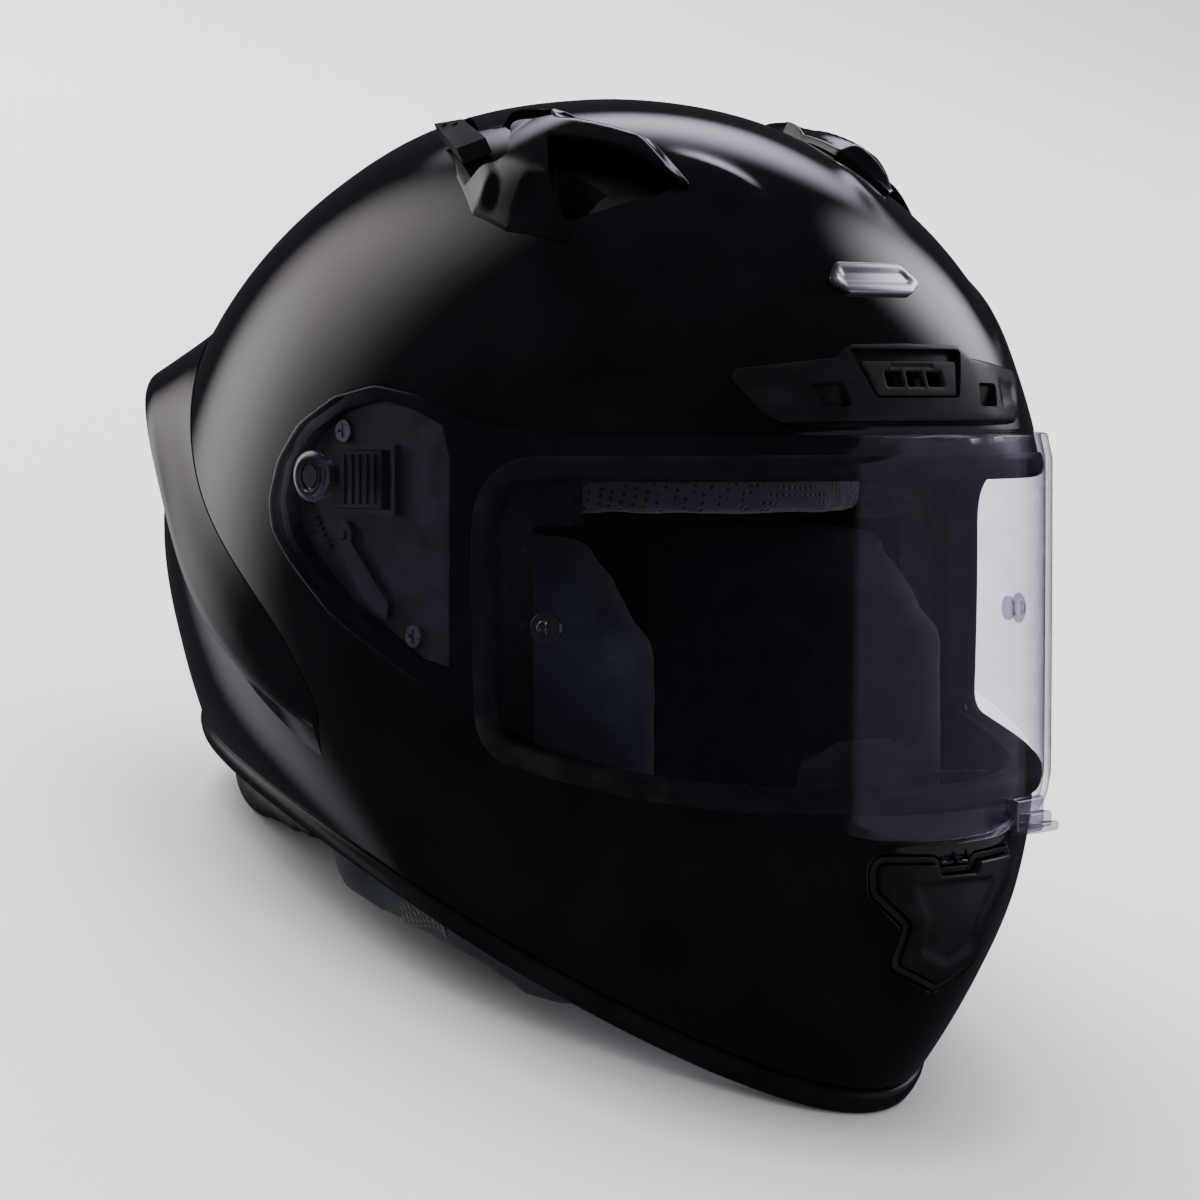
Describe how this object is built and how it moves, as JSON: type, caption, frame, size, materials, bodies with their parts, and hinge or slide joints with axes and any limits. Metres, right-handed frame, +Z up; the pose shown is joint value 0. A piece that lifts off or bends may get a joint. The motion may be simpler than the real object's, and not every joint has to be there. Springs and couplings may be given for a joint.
{
  "type": "motorcycle helmet",
  "caption": "Full-face sport helmet: gloss black shell with rear spoiler, clear hinged visor, sliding vents, padded lining and a double-D chin strap.",
  "frame": {"origin": "on the ground under the centre of the helmet's bounding box, with the helmet standing on its chin trim and neck roll", "axes": "+Z up, -Y towards the helmet's front, +X towards the wearer's left"},
  "size_m": [0.26, 0.3717, 0.2835],
  "materials": {
    "shell_gloss": "gloss black lacquer over a composite shell",
    "satin_trim": "satin black moulding",
    "vent_slider": "fine-grained black plastic",
    "seal_rubber": "soft black rubber",
    "energy_foam": "black bead foam",
    "liner_fabric": "brushed and perforated lining cloth",
    "pad_fabric": "charcoal-blue knitted cloth",
    "visor_clear": "clear polycarbonate with a faint lavender tint",
    "clear_moulding": "clear moulded plastic",
    "mechanism_plastic": "smooth dark grey plastic",
    "screw_steel": "blackened steel",
    "grille_plastic": "soft black plastic",
    "badge_metal": "satin chrome",
    "webbing": "woven black webbing",
    "plated_steel": "nickel-plated steel",
    "snap_red": "red plastic press stud"
  },
  "bodies": {
    "helmet": {"shell": "shell_gloss", "rear_spoiler": "shell_gloss", "rear_vent_cover": "satin_trim", "base_trim": "satin_trim", "eyeport_seal": "seal_rubber", "eps_crown": "energy_foam", "eps_chin": "energy_foam", "crown_liner": "liner_fabric", "brow_pad": "liner_fabric", "cheek_pad_right": "pad_fabric", "cheek_pad_left": "pad_fabric", "neck_roll": "liner_fabric", "visor_latch": "mechanism_plastic", "side_plate_right": "mechanism_plastic", "side_plate_left": "mechanism_plastic", "side_screws": "screw_steel", "brow_vent_housing": "satin_trim", "top_vent_cowl_right": "shell_gloss", "top_vent_cowl_left": "shell_gloss", "chin_vent_frame": "satin_trim", "chin_grilles": "grille_plastic", "breath_deflector": "grille_plastic", "front_badge": "badge_metal", "strap_right": "webbing", "strap_left": "webbing", "strap_anchors": "plated_steel", "d_rings": "plated_steel", "strap_snap": "snap_red"},
    "visor": {"visor_panel": "visor_clear", "pivot_ring_right": "clear_moulding", "pivot_ring_left": "clear_moulding", "visor_pins": "clear_moulding", "visor_lock_tab": "clear_moulding"},
    "release_right": {"visor_release_right": "mechanism_plastic"},
    "release_left": {"visor_release_left": "mechanism_plastic"},
    "arm_right": {"detent_arm_right": "mechanism_plastic"},
    "arm_left": {"detent_arm_left": "mechanism_plastic"},
    "brow_slider": {"brow_vent_slider": "vent_slider"},
    "top_slider_right": {"top_vent_slider_right": "vent_slider"},
    "top_slider_left": {"top_vent_slider_left": "vent_slider"},
    "chin_flap": {"chin_vent_flap": "vent_slider"}
  },
  "joints": [
    {"name": "visor_hinge", "type": "hinge", "parent": "helmet", "child": "visor", "pos_m": [0, 0.02069, 0.15048], "axis": [-1, 0, 0], "range_deg": [0, 55]},
    {"name": "release_slide_right", "type": "slide", "parent": "helmet", "child": "release_right", "axis": [0, -0.9397, 0.342], "range_m": [0, 0.004], "stiffness_N_per_m": 400, "springref_m": -0.002},
    {"name": "release_slide_left", "type": "slide", "parent": "helmet", "child": "release_left", "axis": [0, -0.9397, 0.342], "range_m": [0, 0.004], "stiffness_N_per_m": 400, "springref_m": -0.002},
    {"name": "detent_pivot_right", "type": "hinge", "parent": "helmet", "child": "arm_right", "pos_m": [-0.1218, 0.00573, 0.1357], "axis": [-1, 0, 0], "range_deg": [0, 3], "stiffness_Nm_per_rad": 0.5, "springref_deg": -2.86},
    {"name": "detent_pivot_left", "type": "hinge", "parent": "helmet", "child": "arm_left", "pos_m": [0.1218, 0.00573, 0.1357], "axis": [-1, 0, 0], "range_deg": [0, 3], "stiffness_Nm_per_rad": 0.5, "springref_deg": -2.86},
    {"name": "brow_vent_slide", "type": "slide", "parent": "helmet", "child": "brow_slider", "axis": [0, 0.6107, 0.7919], "range_m": [0, 0.003]},
    {"name": "top_vent_slide_right", "type": "slide", "parent": "helmet", "child": "top_slider_right", "axis": [0.1986, -0.8984, 0.3916], "range_m": [0, 0.007]},
    {"name": "top_vent_slide_left", "type": "slide", "parent": "helmet", "child": "top_slider_left", "axis": [-0.1986, -0.8984, 0.3916], "range_m": [0, 0.007]},
    {"name": "chin_vent_hinge", "type": "hinge", "parent": "helmet", "child": "chin_flap", "pos_m": [0, -0.17677, 0.09039], "axis": [-1, 0, 0], "range_deg": [0, 10]}
  ]
}
